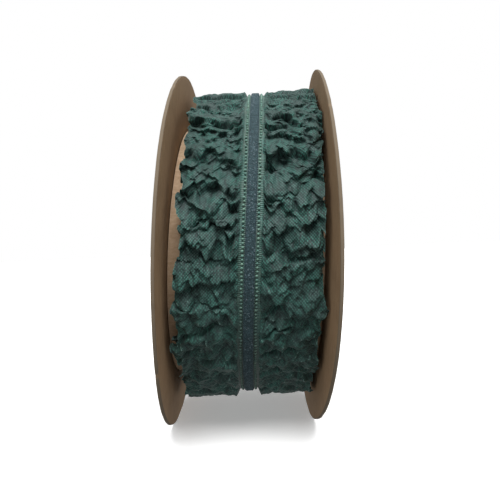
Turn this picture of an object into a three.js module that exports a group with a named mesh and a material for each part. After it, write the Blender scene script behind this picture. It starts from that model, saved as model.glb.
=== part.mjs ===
// Ruffled satin ribbon with a sewn centre tape, wound on a card spool.
// Millimetres, +Z up. The spool's axis lies along X and the spool stands on its two rims.
// A turn angle is 0 at the front (-Y), and grows upwards over the top of the roll.

import * as THREE from 'three';

// Card spool
const FLANGE_RADIUS = 50;
const FLANGE_HOLE_RADIUS = 10;
const CARD_THICKNESS = 0.8;
const INSIDE_WIDTH = 38;
const CORE_RADIUS = 35.5;
const CORE_WALL = 1.2;
const AXIS_HEIGHT = 49.5;
const PIECE_GAP = 0.3;

// The soft card leans and is bent out of flat, a little differently at each end.
// across and up are the lean in degrees per side; saddle and twist are rim bends in mm.
const LEAN = {
  left: { across: -0.49, up: 4.76, saddle: -0.33, twist: 0.37 },
  right: { across: 1.8, up: 2.84, saddle: 0.82, twist: -0.55 },
};

// Wound ribbon
const TAPE_CENTRE = 1.05;
const TAPE_WIDTH = 5.4;
const TAPE_RADIUS = 42.6;
const TAPE_THICKNESS = 0.5;
const TAPE_DRIFT = 0.15;
const VELVET_WIDTH = 2.4;
const VELVET_THICKNESS = 0.4;
const WINDING_LIFT = 1.5;
const RUFFLE_RADIUS = 43.2;
const RUFFLE_CROWN = 0.5;
const RUFFLE_EDGE = { left: -15.9, right: 17.4 };
const EDGE_LAYER = 1.6;
const EDGE_STEP = 1.3;
const FLANGE_CLEARANCE = 0.45;

// Crumpled cloth between the main folds
const CRUMPLE_HEIGHT = 0.6;
const CRUMPLE_CELLS_ROUND = 64;
const CRUMPLE_CELLS_ACROSS = 4;
const EDGE_RAGGED = 0.5;
const HIDDEN_FOLD_SPACING = 10.5;

// Mesh fineness
const CARD_STEPS = 96;
const RUFFLE_STEPS = 160;
const TAPE_STEPS = 120;
const FACE_POINTS = 8;

// Main folds on the front: a raised free edge that runs from the tape to the ribbon's edge.
// Angles in degrees where it meets the tape, half way and at the edge; lift is its height,
// reach how far its end stands out sideways, both in mm; opens tells the pocket's side.
const FOLD_COLUMNS = ['atTape', 'halfway', 'atEdge', 'lift', 'reach', 'opens'];
const FRONT_FOLDS = {
  left: [
    [67, 69, 71, 1.2, 0.7, 'down'],
    [55, 57, 59, 0.8, 0.2, 'down'],
    [41, 45, 49, 1.3, 0.4, 'down'],
    [35, 37, 36, 0.9, 0.2, 'down'],
    [25, 27, 29, 1.2, 0.5, 'down'],
    [13, 13, 16, 1.2, 0.6, 'down'],
    [8, 6, 7, 1.0, -0.5, 'down'],
    [-1, 0, -1, 0.9, -0.3, 'down'],
    [-9, -8, -7, 1.2, 0.5, 'down'],
    [-20, -19, -16, 1.2, 1.5, 'up'],
    [-31, -29, -33, 1.4, 2.2, 'up'],
    [-42, -41, -42, 1.1, 0.4, 'up'],
    [-54, -53, -55, 0.9, 0.2, 'up'],
    [-66, -67, -65, 0.9, 0.2, 'up'],
  ],
  right: [
    [68, 66, 64, 0.9, 0.1, 'down'],
    [51, 46, 42, 1.4, 1.0, 'down'],
    [37, 36, 38, 1.1, 0.0, 'down'],
    [28, 30, 31, 0.9, -0.3, 'down'],
    [18, 21, 24, 1.5, 0.3, 'down'],
    [11, 12, 11, 1.0, 0.6, 'down'],
    [1, 1, 2, 1.2, 0.2, 'down'],
    [-8, -5, -7, 1.1, 0.4, 'up'],
    [-19, -20, -21, 1.3, 2.2, 'down'],
    [-30, -33, -34, 1.0, -0.2, 'up'],
    [-40, -42, -43, 1.1, 0.1, 'up'],
    [-53, -54, -56, 0.9, -0.4, 'up'],
    [-66, -65, -67, 0.9, -0.3, 'up'],
  ],
};
const FIRST_HIDDEN_ANGLE = 77;
const LAST_HIDDEN_ANGLE = 286;
const FOLD_GENTLE_SIDE = 4.2;
const FOLD_STEEP_SIDE = 0.9;
const POCKET_DEPTH = 1.1;
const POCKET_OFFSET = 1.7;
const POCKET_WIDTH = 1.3;
const EDGE_PETAL_WIDTH = 2.8;

const DEGREE = Math.PI / 180;
const FULL_TURN = 2 * Math.PI;

// A repeatable stream of numbers from 0 to 1.
function numberStream(seed) {
  let state = seed;
  return () => {
    state = (state * 1664525 + 1013904223) % 4294967296;
    return state / 4294967296;
  };
}

function bell(distance, width) {
  return Math.exp(-((distance / width) ** 2));
}

function blend(from, to, share) {
  return from + (to - from) * share;
}

function ease(share) {
  return share * share * (3 - 2 * share);
}

// Folds as objects, with the hidden back filled by folds of the same kind.
function allFolds(side, seed) {
  const folds = FRONT_FOLDS[side].map((row) =>
    Object.fromEntries(FOLD_COLUMNS.map((column, k) => [column, row[k]]))
  );
  const next = numberStream(seed);
  let angle = FIRST_HIDDEN_ANGLE;
  while (angle < LAST_HIDDEN_ANGLE) {
    folds.push({
      atTape: angle + 3 * (next() - 0.5),
      halfway: angle + 5 * (next() - 0.5),
      atEdge: angle + 6 * (next() - 0.5),
      lift: blend(0.8, 1.5, next()),
      reach: blend(-0.5, 1.1, next()),
      opens: angle < 180 ? 'up' : 'down',
    });
    angle += HIDDEN_FOLD_SPACING * blend(0.8, 1.25, next());
  }
  return folds;
}

const FOLDS = { left: allFolds('left', 11), right: allFolds('right', 23) };

// A fold's angle at a share of the way from the tape (0) to the ribbon's edge (1).
function foldAngle(fold, share) {
  return share < 0.5
    ? blend(fold.atTape, fold.halfway, share * 2)
    : blend(fold.halfway, fold.atEdge, share * 2 - 1);
}

// Distance along the roll's surface from a fold to a turn angle, in mm, upwards positive.
function arcFromFold(turn, angle) {
  const difference = ((turn / DEGREE - angle + 540) % 360) - 180;
  return difference * DEGREE * RUFFLE_RADIUS;
}

// Soft random heights on a grid that closes round the roll.
function crumpleGrid(seed) {
  const next = numberStream(seed);
  return Array.from({ length: CRUMPLE_CELLS_ROUND }, () =>
    Array.from({ length: CRUMPLE_CELLS_ACROSS + 1 }, () => 2 * next() - 1)
  );
}

const CRUMPLE = { left: crumpleGrid(5), right: crumpleGrid(8) };

function crumpleAt(side, turn, share) {
  const round = (turn / FULL_TURN) * CRUMPLE_CELLS_ROUND;
  const across = Math.min(share, 0.999) * CRUMPLE_CELLS_ACROSS;
  const row = Math.floor(round) % CRUMPLE_CELLS_ROUND;
  const nextRow = (row + 1) % CRUMPLE_CELLS_ROUND;
  const column = Math.floor(across);
  const alongRow = ease(round - Math.floor(round));
  const alongColumn = ease(across - column);
  const grid = CRUMPLE[side];
  const near = blend(grid[row][column], grid[nextRow][column], alongRow);
  const far = blend(grid[row][column + 1], grid[nextRow][column + 1], alongRow);
  return blend(near, far, alongColumn);
}

// Height of the ruffles over the roll's even surface.
function ruffleHeight(side, turn, share) {
  let height = CRUMPLE_HEIGHT * crumpleAt(side, turn, share);
  for (const fold of FOLDS[side]) {
    const above = arcFromFold(turn, foldAngle(fold, share));
    const outOfPocket = fold.opens === 'down' ? above : -above;
    const width = outOfPocket > 0 ? FOLD_GENTLE_SIDE : FOLD_STEEP_SIDE;
    height += fold.lift * bell(outOfPocket, width);
    height -= POCKET_DEPTH * bell(outOfPocket + POCKET_OFFSET, POCKET_WIDTH);
  }
  const heldByTape = ease(Math.min(1, 0.35 + share * 2));
  return height * heldByTape + RUFFLE_CROWN * Math.sin(Math.PI * share);
}

// How far the ribbon's edge lies from the spool's middle.
function ruffleEdge(side, turn) {
  const outwards = side === 'left' ? -1 : 1;
  let reach = EDGE_RAGGED * crumpleAt(side, turn, 1);
  for (const fold of FOLDS[side]) {
    reach += fold.reach * bell(arcFromFold(turn, fold.atEdge), EDGE_PETAL_WIDTH);
  }
  const bendLow = flangeBend(side, turn, RUFFLE_RADIUS - EDGE_LAYER);
  const bendHigh = flangeBend(side, turn, RUFFLE_RADIUS + WINDING_LIFT);
  const limit = INSIDE_WIDTH / 2 - FLANGE_CLEARANCE + Math.min(bendLow, bendHigh);
  return outwards * Math.min(limit, Math.abs(RUFFLE_EDGE[side]) + reach);
}

// How far a flange bends outwards beyond the core.
function flangeBend(side, turn, radius) {
  const share = Math.max(0, (radius - CORE_RADIUS) / (FLANGE_RADIUS - CORE_RADIUS));
  const { saddle, twist } = LEAN[side];
  return share * (saddle * Math.cos(2 * turn) + twist * Math.sin(2 * turn));
}

// The whole spool leans: each slice across the axis is sheared, from the left lean to the right.
function place(across, radius, turn) {
  const share = THREE.MathUtils.clamp(across / INSIDE_WIDTH + 0.5, 0, 1);
  const slopeAcross = Math.tan(blend(LEAN.left.across, LEAN.right.across, share) * DEGREE);
  const slopeUp = Math.tan(blend(LEAN.left.up, LEAN.right.up, share) * DEGREE);
  const y = -radius * Math.cos(turn);
  const z = Math.max(radius * Math.sin(turn), -AXIS_HEIGHT);
  return new THREE.Vector3(across + slopeAcross * y + slopeUp * z, y, z);
}

// A closed profile, from its right side to its left, turned round the spool's axis.
// shape(point, turn) moves each of its points.
function turnedPiece(name, profile, steps, shape, material) {
  const outline = [...profile, profile[0]];
  const points = outline.map((point) => new THREE.Vector2(point.radius, point.across));
  const geometry = new THREE.LatheGeometry(points, steps);
  const position = geometry.attributes.position;
  for (let k = 0; k < position.count; k++) {
    const turn = ((Math.floor(k / outline.length) % steps) / steps) * FULL_TURN;
    const { across, radius } = shape(outline[k % outline.length], turn);
    position.setXYZ(k, ...place(across, radius, turn).toArray());
  }
  geometry.computeVertexNormals();
  const mesh = new THREE.Mesh(geometry, material);
  mesh.name = name;
  return mesh;
}

function flange(side, material) {
  const outwards = side === 'left' ? -1 : 1;
  const radii = [FLANGE_HOLE_RADIUS, CORE_RADIUS, (CORE_RADIUS + FLANGE_RADIUS) / 2, FLANGE_RADIUS];
  const inner = INSIDE_WIDTH / 2;
  const low = outwards > 0 ? inner : -inner - CARD_THICKNESS;
  const high = low + CARD_THICKNESS;
  const profile = [
    ...radii.map((radius) => ({ radius, across: high })),
    ...radii.reverse().map((radius) => ({ radius, across: low })),
  ];
  const shape = ({ across, radius }, turn) => ({
    across: across + outwards * flangeBend(side, turn, radius),
    radius,
  });
  return turnedPiece(`flange_${side}`, profile, CARD_STEPS, shape, material);
}

// A plain band of even thickness, wound on the roll or on the axis.
function band(name, { centre, width, radius, thickness, lift, drift, steps }, material) {
  const profile = [
    { radius: radius - thickness, across: centre + width / 2 },
    { radius, across: centre + width / 2 },
    { radius, across: centre - width / 2 },
    { radius: radius - thickness, across: centre - width / 2 },
  ];
  const shape = (point, turn) => ({
    across: point.across + drift * Math.sin(3 * turn),
    radius: point.radius + lift * Math.sin(turn),
  });
  return turnedPiece(name, profile, steps, shape, material);
}

// The gathered satin: a lumpy ring with a channel under the tape and stepped, petalled sides.
function ruffleRoll(material) {
  const channel = TAPE_WIDTH / 2 + PIECE_GAP + TAPE_DRIFT;
  const channelRadius = TAPE_RADIUS - TAPE_THICKNESS - PIECE_GAP;
  const innerRadius = CORE_RADIUS + PIECE_GAP;
  const sideProfile = (side) => {
    const faces = Array.from({ length: FACE_POINTS }, (_, k) => ({
      kind: 'face', side, share: k / (FACE_POINTS - 1), radius: RUFFLE_RADIUS,
    }));
    return [
      { kind: 'channel', side, radius: channelRadius },
      ...faces,
      { kind: 'wall', side, down: EDGE_LAYER, inset: 0.3, radius: RUFFLE_RADIUS - EDGE_LAYER },
      { kind: 'wall', side, down: EDGE_LAYER + 0.5, inset: EDGE_STEP, radius: RUFFLE_RADIUS - 2 },
      { kind: 'wall', side, down: 3.8, inset: 0.4, radius: RUFFLE_RADIUS - 3.8 },
      { kind: 'inside', side, inset: 1, radius: innerRadius },
    ];
  };
  const profile = [...sideProfile('right').reverse(), ...sideProfile('left')];
  const across = (point, turn) => {
    const outwards = point.side === 'left' ? -1 : 1;
    const edge = ruffleEdge(point.side, turn);
    const start = TAPE_CENTRE + outwards * channel;
    if (point.kind === 'channel') return start;
    if (point.kind === 'face') return blend(start, edge, point.share);
    return edge - outwards * point.inset;
  };
  const radius = (point, turn) => {
    if (point.kind === 'inside') return innerRadius;
    const lift = WINDING_LIFT * Math.sin(turn);
    if (point.kind === 'channel') return channelRadius + lift;
    if (point.kind === 'face') {
      return RUFFLE_RADIUS + lift + ruffleHeight(point.side, turn, point.share);
    }
    const top = RUFFLE_RADIUS + lift + ruffleHeight(point.side, turn, 1);
    return blend(top, innerRadius, point.down / (RUFFLE_RADIUS - innerRadius));
  };
  const shape = (point, turn) => ({ across: across(point, turn), radius: radius(point, turn) });
  const drawn = profile.map((point) => ({ ...point, across: across(point, 0) }));
  return turnedPiece('ruffle_roll', drawn, RUFFLE_STEPS, shape, material);
}

const kraftCard = new THREE.MeshStandardMaterial({ color: 0x84694c, roughness: 0.9 });
const coreCard = new THREE.MeshStandardMaterial({ color: 0x967d60, roughness: 0.9 });
const crushedSatin = new THREE.MeshStandardMaterial({ color: 0x1d4a42, roughness: 0.5 });
const ribbedTape = new THREE.MeshStandardMaterial({ color: 0x2f5546, roughness: 0.6 });
const velvet = new THREE.MeshStandardMaterial({ color: 0x4a6070, roughness: 0.95 });

const spool = new THREE.Group();
spool.add(flange('left', kraftCard));
spool.add(flange('right', kraftCard));
spool.add(band('core_tube', {
  centre: 0,
  width: INSIDE_WIDTH - 2 * PIECE_GAP,
  radius: CORE_RADIUS,
  thickness: CORE_WALL,
  lift: 0,
  drift: 0,
  steps: CARD_STEPS,
}, coreCard));
spool.add(ruffleRoll(crushedSatin));
spool.add(band('centre_tape', {
  centre: TAPE_CENTRE,
  width: TAPE_WIDTH,
  radius: TAPE_RADIUS,
  thickness: TAPE_THICKNESS,
  lift: WINDING_LIFT,
  drift: TAPE_DRIFT,
  steps: TAPE_STEPS,
}, ribbedTape));
spool.add(band('velvet_stripe', {
  centre: TAPE_CENTRE,
  width: VELVET_WIDTH,
  radius: TAPE_RADIUS + PIECE_GAP + VELVET_THICKNESS,
  thickness: VELVET_THICKNESS,
  lift: WINDING_LIFT,
  drift: TAPE_DRIFT,
  steps: TAPE_STEPS,
}, velvet));

// The origin is on the surface the rims stand on, under the middle of the whole spool.
const reach = new THREE.Box3().setFromObject(spool, true);
const middle = reach.getCenter(new THREE.Vector3());
spool.position.set(-middle.x, -middle.y, -reach.min.z);

export default spool;
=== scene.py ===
"""A card spool wound with gathered, crushed satin ribbon and its sewn velvet tape.

Sizes are in millimetres unless a name says otherwise. Places on the roll are given by the
distance across it, along the spool's axis, by the radius from that axis, and by a turn angle
that is 0 at the front and grows upwards over the top.
"""

import math

import bmesh
import bpy
import numpy as np
from bpy.props import FloatProperty, FloatVectorProperty, IntProperty, PointerProperty
from mathutils import Matrix, Vector


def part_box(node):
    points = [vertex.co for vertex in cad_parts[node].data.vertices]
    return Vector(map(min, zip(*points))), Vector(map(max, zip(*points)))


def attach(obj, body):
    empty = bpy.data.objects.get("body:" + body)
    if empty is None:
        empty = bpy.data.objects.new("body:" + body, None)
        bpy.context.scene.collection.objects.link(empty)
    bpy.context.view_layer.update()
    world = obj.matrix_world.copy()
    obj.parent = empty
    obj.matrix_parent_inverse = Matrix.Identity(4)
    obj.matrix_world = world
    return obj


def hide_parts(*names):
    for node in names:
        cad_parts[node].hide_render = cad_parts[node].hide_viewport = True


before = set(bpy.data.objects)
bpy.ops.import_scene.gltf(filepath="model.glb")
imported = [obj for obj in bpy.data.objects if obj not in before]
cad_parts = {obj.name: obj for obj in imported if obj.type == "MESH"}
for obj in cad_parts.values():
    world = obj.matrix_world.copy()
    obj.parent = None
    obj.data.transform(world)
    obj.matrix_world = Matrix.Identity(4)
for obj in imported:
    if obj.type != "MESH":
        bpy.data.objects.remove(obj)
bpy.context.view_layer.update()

bl_info = {
    "name": "Ruffled Ribbon Roll",
    "version": (1, 0, 0),
    "blender": (4, 5, 0),
    "location": "View3D > Sidebar > Ribbon Roll",
    "description": "Models a card spool wound with gathered satin and a sewn velvet tape",
    "category": "Add Mesh",
}

MM = 0.001
FULL_TURN = 2 * math.pi
SIDES = ("left", "right")
OUTWARDS = {"left": -1, "right": 1}


def frame_size(node, axis):
    """A node's lowest and highest reach along one axis, in mm."""
    low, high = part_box(node)
    return low[axis] / MM, high[axis] / MM


# The card spool and its lean. across and up are degrees; saddle and twist are rim bends in mm.
CARD_THICKNESS = 0.8
INSIDE_WIDTH = 38.0
PIECE_GAP = 0.3
CORE_WALL = 1.2
FLANGE_HOLE_RADIUS = 10.0
FLANGE_RADIUS = frame_size("flange_left", 1)[1]
CORE_RADIUS = frame_size("core_tube", 1)[1]
AXIS_HEIGHT = sum(frame_size("core_tube", 2)) / 2
LEAN = {
    "left": {"across": -0.49, "up": 4.76, "saddle": -0.33, "twist": 0.37},
    "right": {"across": 1.8, "up": 2.84, "saddle": 0.82, "twist": -0.55},
}
RIM_NICK_COLUMNS = ("side", "degrees", "depth", "width")
RIM_NICKS = (
    ("left", -33.0, 0.55, 0.5),
    ("right", 38.0, 0.5, 0.5),
    ("left", 52.0, 0.2, 0.7),
    ("right", -57.0, 0.25, 0.6),
)

# The wound ribbon
TAPE_CENTRE = 1.05
TAPE_WIDTH = 5.4
TAPE_RADIUS = frame_size("centre_tape", 1)[1]
TAPE_THICKNESS = 0.5
TAPE_DRIFT = 0.15
VELVET_WIDTH = 2.4
VELVET_RADIUS = frame_size("velvet_stripe", 1)[1]
WINDING_LIFT = 1.5
TAPE_STEPS = 1200
VELVET_STEPS = 1500
BEAD_PITCH = 0.90
BEAD_CENTRE = 1.73
BEAD_RISE = 0.2
BEAD_HALF_SIZES = (0.33, 0.25, 0.27)
BEAD_SLANT = 0.35
BEAD_NUDGES = (0.05, 0.035, 0.05)

# Gathered satin, worked out flat: its seam under the tape, its free edge and its layers
SATIN_LENGTH = 340.0
SATIN_HALF_WIDTH = 17.4
SATIN_ROWS = 1640
SATIN_COLUMNS = 60
SATIN_BASE_RADIUS = 40.2
FOLD_SEED = 11
SEAM_OFFSET = 2.2
SEAM_RISE = 0.95
LYING_HEIGHT = 1.2
LOWEST = -2.2
ROUND_THE_ROLL = 266.0
FREE_EDGE = {"left": 16.5, "right": 16.6}
FLANGE_CLEARANCE = 0.35

# The two turns of satin that are built: the top one, and the flatter one that shows below it, its
# colour darkened as painted shade
TOP_TURN = {
    "rows": SATIN_ROWS,
    "columns": SATIN_COLUMNS,
    "seed_step": 0,
    "heights": (LOWEST, math.inf),
    "painted_shade": 0.0,
}
TURN_BELOW = {
    "rows": 952,
    "columns": 27,
    "seed_step": 20,
    "heights": (-0.8, 3.0),
    # Painted shade: how far the turn below is mixed towards the dark between the threads
    "painted_shade": 0.45,
}
BELOW_RADIUS = 36.8
BELOW_LENGTH = 0.9 * SATIN_LENGTH

# Main folds on the front: a raised edge that runs from the tape to the ribbon's free edge.
# Degrees where it meets the tape, half way and at the edge; lift is its height and reach how
# far its end stands out sideways; opens tells on which side its pocket lies.
FOLD_COLUMNS = ("at_tape", "halfway", "at_edge", "lift", "reach", "opens")
FRONT_FOLDS = {
    "left": (
        (78, 79, 81, 2.4, 0.9, "down"),
        (67, 69, 71, 1.2, 0.7, "down"),
        (55, 57, 59, 0.8, 0.2, "down"),
        (41, 45, 49, 1.3, 0.4, "down"),
        (35, 37, 36, 0.9, 0.2, "down"),
        (25, 27, 29, 1.2, 0.5, "down"),
        (13, 13, 16, 1.2, 0.6, "down"),
        (8, 6, 7, 1.0, -0.5, "down"),
        (-1, 0, -1, 0.9, -0.3, "down"),
        (-9, -8, -7, 1.2, 0.5, "down"),
        (-20, -19, -16, 1.2, 1.5, "up"),
        (-31, -29, -33, 1.4, 2.2, "up"),
        (-42, -41, -42, 1.1, 0.4, "up"),
        (-54, -53, -55, 0.9, 0.2, "up"),
        (-66, -67, -65, 0.9, 0.2, "up"),
    ),
    "right": (
        (77, 76, 75, 1.2, 0.5, "down"),
        (68, 66, 64, 0.9, 0.1, "down"),
        (51, 46, 42, 1.4, 1.0, "down"),
        (37, 36, 38, 1.1, 0.0, "down"),
        (28, 30, 31, 0.9, -0.3, "down"),
        (18, 21, 24, 1.5, 0.3, "down"),
        (11, 12, 11, 1.0, 0.6, "down"),
        (1, 1, 2, 1.2, 0.2, "down"),
        (-8, -5, -7, 1.1, 0.4, "up"),
        (-19, -20, -21, 1.3, 2.2, "down"),
        (-30, -33, -34, 1.0, -0.2, "up"),
        (-40, -42, -43, 1.1, 0.1, "up"),
        (-53, -54, -56, 0.9, -0.4, "up"),
        (-66, -65, -67, 0.9, -0.3, "up"),
    ),
}
HIDDEN_ANGLES = (77, 286)
HIDDEN_FOLD_SPACING = 10.5
FOLD_GENTLE_SIDE = 4.2
FOLD_STEEP_SIDE = 0.9
POCKET_DEPTH = 0.8
POCKET_OFFSET = 1.7
POCKET_WIDTH = 1.2
EDGE_PETAL_WIDTH = 2.8
WARP_CELLS = (86, 6)
WARP_ROUND = 2.2
WARP_ACROSS = 1.2

# The free edge's unevenness: cells round the roll and size, coarse and fine
RAGGED = (120, 0.35)
FRAYED = (330, 0.12)

# Small creases: facet size and slope of each layer of crumpling, and how far they hang over
CREASES = ((2.5, 0.5), (1.25, 0.44), (0.75, 0.15))
PYRAMID_STEEPNESS = 1.15
PYRAMID_SPREAD = 0.6
FINE_SHARE_BELOW = 0.6
CRUMPLE_LIFT = 0.4
CRUMPLE_RANGE = (-1.6, 1.4)
OVERHANG = 1.8
FREE_WITHIN = 1.2
FOLD_SHARE = 0.42
FOLD_LEAN = 0.45
CLOTH_TURN = 0.2
# CREASE_STEP scales the crease sharpness that gives the satin painted highlights on ridges and
# painted shade in creases; the free edge gets a painted highlight of the share after it
CREASE_STEP = 0.07
FREE_EDGE_HIGHLIGHT = 0.6

# Where the winding is calmer, folded higher or lifted: middle and width in degrees, and amount
CALM_ON_TOP = (80, 24, 0.75)
CALM_BELOW = (-78, 18, 0.5)
HIGHER_FOLDS = ((65, 25, 0.9), (-25, 30, 0.5))
LIFTS = ((82, 20, 0.75), (-76, 16, 2.2))

# Deep hollows on the front, between the folds: the turn angle and the distance from the
# tape's middle of each one's centre, its half sizes across and round the roll, and its depth.
HOLLOW_COLUMNS = ("degrees", "from_tape", "half_across", "half_round", "depth")
HOLLOWS = {
    "left": (
        (42.7, 7.4, 2.2, 1.3, 2.4),
        (44.0, 3.6, 1.3, 1.2, 1.8),
        (30.4, 15.0, 2.2, 1.6, 2.4),
        (28.5, 11.5, 1.8, 0.9, 1.4),
        (27.0, 4.2, 1.6, 0.9, 1.8),
        (18.9, 16.0, 2.0, 1.5, 1.4),
        (16.8, 9.8, 3.0, 1.1, 2.2),
        (16.3, 4.6, 2.0, 0.9, 2.0),
        (12.9, 10.0, 3.0, 0.8, 1.4),
        (10.4, 3.9, 1.4, 1.3, 2.3),
        (9.9, 12.8, 1.8, 1.4, 2.0),
        (5.1, 7.5, 3.0, 0.8, 1.2),
        (-1.4, 13.6, 3.2, 1.2, 1.5),
        (-1.6, 8.8, 2.0, 1.4, 1.9),
        (1.3, 4.0, 1.2, 1.2, 1.7),
        (-8.9, 5.2, 3.6, 1.2, 2.2),
        (-8.3, 12.5, 2.2, 1.0, 1.4),
        (-24.0, 9.0, 3.0, 1.2, 1.2),
        (-36.5, 12.5, 3.0, 1.1, 1.3),
    ),
    "right": (
        (41.1, 3.6, 1.5, 1.4, 2.3),
        (39.4, 6.8, 2.6, 0.8, 1.8),
        (51.0, 9.4, 2.4, 1.0, 1.8),
        (41.9, 15.4, 1.3, 2.4, 1.4),
        (21.8, 5.6, 3.4, 2.0, 2.6),
        (25.8, 11.8, 3.4, 1.5, 2.5),
        (16.1, 3.7, 1.8, 0.7, 1.4),
        (13.7, 3.9, 1.8, 0.7, 1.4),
        (18.9, 15.6, 2.0, 1.3, 1.7),
        (11.5, 7.2, 1.3, 2.2, 1.2),
        (1.0, 6.2, 4.2, 1.6, 2.5),
        (4.5, 14.6, 2.4, 1.4, 1.9),
        (-2.7, 9.0, 1.8, 1.5, 1.5),
        (-8.3, 3.8, 1.6, 1.6, 1.5),
        (-20.0, 4.6, 2.8, 2.2, 1.7),
        (-10.5, 16.2, 1.4, 3.0, 1.4),
        (-28.5, 9.0, 3.4, 1.4, 1.3),
        (-38.0, 6.5, 3.0, 1.2, 1.2),
    ),
}

# The camera: its place from the spool's middle, its turns in radians and its lens
CAMERA_FROM_AXIS = (1.23, -138.37, -0.405)
CAMERA_YAW = -0.0082
CAMERA_PITCH = -0.0023
CAMERA_ROLL = 0.0434
IMAGE_WIDTH_PIXELS = 500
FOCAL_LENGTH_PIXELS = 450
SENSOR_WIDTH = 36.0
NEAREST_SEEN_METRES = 0.005

# The floor's half size in metres, and how high the room's light turns from dim to bright
FLOOR_HALF_METRES = 6.0
ROOM_DIM = -0.35
ROOM_BRIGHT = 0.5

# Finishes: pitches in mm, and the heights above the floor over which each one's painted shade lower
# down fades out
WEAVE_PITCH = 0.72
RIB_PITCH = 0.42
CORE_STRIP_PITCH = 22.0
SATIN_PAINTED_SHADE_HEIGHTS = (30.0, 50.0)
TAPE_PAINTED_SHADE_HEIGHTS = (24.0, 46.0)
BEADS_PAINTED_SHADE_HEIGHTS = (33.0, 46.0)

CLOTH_UV = "Cloth"
CREASED = "Creased"
TINY = 1e-6


def blend(first, second, share):
    return first + (second - first) * share


def ease(share):
    return share * share * (3 - 2 * share)


def bell(distance, width):
    return np.exp(-((distance / width) ** 2))


def hump(degrees, middle, width, amount):
    return amount * bell(degrees - middle, width)


def slopes(share):
    """The lean's slopes across and up, at a share of the way from the left flange."""
    across = blend(LEAN["left"]["across"], LEAN["right"]["across"], share)
    up = blend(LEAN["left"]["up"], LEAN["right"]["up"], share)
    return np.tan(np.radians(across)), np.tan(np.radians(up))


def axis_middle():
    """Where the spool's middle lies along X, from the reach of the core tube's left end."""
    left_end = PIECE_GAP - INSIDE_WIDTH / 2
    slope_across, slope_up = slopes(left_end / INSIDE_WIDTH + 0.5)
    furthest = left_end - CORE_RADIUS * math.hypot(slope_across, slope_up)
    return frame_size("core_tube", 0)[0] - furthest


AXIS_MIDDLE = axis_middle()


def place(across, radius, turn):
    """Points of the leaning spool in metres."""
    share = np.clip(across / INSIDE_WIDTH + 0.5, 0, 1)
    slope_across, slope_up = slopes(share)
    y = -radius * np.cos(turn)
    z = np.maximum(radius * np.sin(turn), -AXIS_HEIGHT)
    x = across + slope_across * y + slope_up * z
    return np.stack([x + AXIS_MIDDLE, y, z + AXIS_HEIGHT], axis=-1) * MM


def flange_bend(side, turn, radius):
    """How far a flange bends outwards beyond the core."""
    share = np.maximum(0, (radius - CORE_RADIUS) / (FLANGE_RADIUS - CORE_RADIUS))
    lean = LEAN[side]
    return share * (lean["saddle"] * np.cos(2 * turn) + lean["twist"] * np.sin(2 * turn))


class SoftNoise:
    """Smooth random values that close round the roll, for its left and its right side."""

    def __init__(self, cells_round, cells_across, seed):
        size = (2, cells_round, cells_across)
        self.values = np.random.default_rng(seed).normal(size=size).astype(np.float32)

    def at(self, round_share, across_share, side):
        cells_round, cells_across = self.values.shape[1:]
        along = (round_share * cells_round) % cells_round
        out = np.clip(across_share, 0, 1) * (cells_across - 1.001)
        row = np.floor(along).astype(int)
        column = np.floor(out).astype(int)
        row_share = ease(along - row)
        column_share = ease(out - column)
        row %= cells_round
        next_row = (row + 1) % cells_round
        values = self.values
        near = blend(values[side, row, column], values[side, next_row, column], row_share)
        far = blend(values[side, row, column + 1], values[side, next_row, column + 1], row_share)
        return blend(near, far, column_share)


class CreaseField:
    """Heights of a crumpled sheet: flat facets between four-sided pits and peaks."""

    def __init__(self, length, size, slope, seed):
        self.cells_along = round(length / size)
        self.cells_across = round(SATIN_HALF_WIDTH / size) + 4
        self.size = length / self.cells_along
        self.slope = slope
        pick = np.random.default_rng(seed)
        shape = (2, 2, self.cells_along, self.cells_across)
        self.spots = pick.uniform(0.05, 0.95, (*shape, 2)).astype(np.float32)
        self.heights = pick.uniform(-PYRAMID_SPREAD, PYRAMID_SPREAD, shape).astype(np.float32)
        angle = pick.uniform(0, math.pi, shape)
        self.cosine = np.cos(angle).astype(np.float32)
        self.sine = np.sin(angle).astype(np.float32)
        self.length_share = pick.uniform(0.5, 1.0, shape).astype(np.float32)

    def pyramids(self, along, across, kind):
        """The lowest of the pyramids that stand on their tips near each place."""
        cell_along = np.floor(along).astype(int)
        cell_across = np.floor(across).astype(int)
        side = np.arange(2)[:, None, None]
        lowest = None
        for step_along in (-2, -1, 0, 1, 2):
            for step_across in (-2, -1, 0, 1, 2):
                row = (cell_along + step_along) % self.cells_along
                column = np.clip(cell_across + step_across, 0, self.cells_across - 1)
                at = (kind, side, row, column)
                away_along = cell_along + step_along + self.spots[at][..., 0] - along
                away_across = column + self.spots[at][..., 1] - across
                first = self.cosine[at] * away_along + self.sine[at] * away_across
                second = self.cosine[at] * away_across - self.sine[at] * away_along
                height = np.maximum(np.abs(first) * self.length_share[at], np.abs(second))
                height = PYRAMID_STEEPNESS * height + self.heights[at]
                lowest = height if lowest is None else np.minimum(lowest, height)
        return lowest

    def at(self, along, across):
        along = along / self.size
        across = across / self.size + 2
        depth = self.pyramids(along, across, 0) - self.pyramids(along, across, 1)
        return depth * self.slope * self.size


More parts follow.
